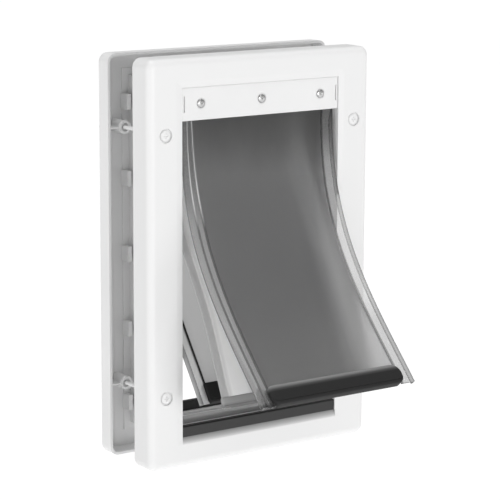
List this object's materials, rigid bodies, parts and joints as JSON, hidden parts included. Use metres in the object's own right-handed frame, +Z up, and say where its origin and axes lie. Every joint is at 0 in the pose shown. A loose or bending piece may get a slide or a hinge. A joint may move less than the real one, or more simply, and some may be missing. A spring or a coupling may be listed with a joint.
{
  "type": "pet door",
  "caption": "Pet door for a hinged door: white outer and inner frames on a telescoping tunnel, with flexible tinted and insulated flaps with side seals and magnet bars, pushed open outwards.",
  "frame": {"origin": "centre of the frame on the door's outer face, the plane where the exterior frame's rim seats", "axes": "+X along the door to the right seen from outside, +Y from the outside to the inside, +Z up"},
  "size_m": [0.292, 0.2526, 0.447],
  "materials": {
    "frame": "satin moulded",
    "tinted_sheet": "soft frosted sheet",
    "clear_strip": "clear soft strip",
    "milky_core": "milky foam-filled sheet",
    "magnet_black": "fine matte",
    "magnet_grey": "fine matte",
    "sill_dark": "fine matte",
    "sill_grey": "fine matte",
    "steel": "plain zinc",
    "white_screw": "white painted"
  },
  "bodies": {
    "frame": {"exterior_frame": "frame", "interior_frame": "frame", "frame_screws": "white_screw", "exterior_flap_retainer": "frame", "exterior_retainer_screws": "steel", "exterior_flap_hem": "tinted_sheet", "exterior_sill_magnet": "sill_dark", "middle_flap_retainer": "frame", "middle_retainer_screws": "steel", "middle_flap_hem": "milky_core", "middle_sill_magnet": "sill_grey", "interior_flap_retainer": "frame", "interior_retainer_screws": "steel", "interior_flap_hem": "tinted_sheet", "interior_sill_magnet": "sill_dark"},
    "exterior_flap": {"exterior_flap_panel": "tinted_sheet", "exterior_flap_left_seal": "clear_strip", "exterior_flap_right_seal": "clear_strip", "exterior_flap_magnet": "magnet_black"},
    "middle_flap": {"middle_flap_panel": "milky_core", "middle_flap_left_seal": "clear_strip", "middle_flap_right_seal": "clear_strip", "middle_flap_magnet": "magnet_grey"},
    "interior_flap": {"interior_flap_panel": "tinted_sheet", "interior_flap_left_seal": "clear_strip", "interior_flap_right_seal": "clear_strip", "interior_flap_magnet": "magnet_black"}
  },
  "joints": [
    {"name": "exterior_flap_swing", "type": "hinge", "parent": "frame", "child": "exterior_flap", "pos_m": [0, -0.0245, 0.1547], "axis": [-1, 0, 0], "range_deg": [-65, 20]},
    {"name": "middle_flap_swing", "type": "hinge", "parent": "frame", "child": "middle_flap", "pos_m": [0, 0.02135, 0.1547], "axis": [-1, 0, 0], "range_deg": [-65, 20]},
    {"name": "interior_flap_swing", "type": "hinge", "parent": "frame", "child": "interior_flap", "pos_m": [0, 0.0672, 0.1547], "axis": [-1, 0, 0], "range_deg": [-65, 20]}
  ],
  "couplings": [
    {"joint": "middle_flap_swing", "follows": "exterior_flap_swing", "ratio": 1},
    {"joint": "interior_flap_swing", "follows": "exterior_flap_swing", "ratio": 1}
  ]
}
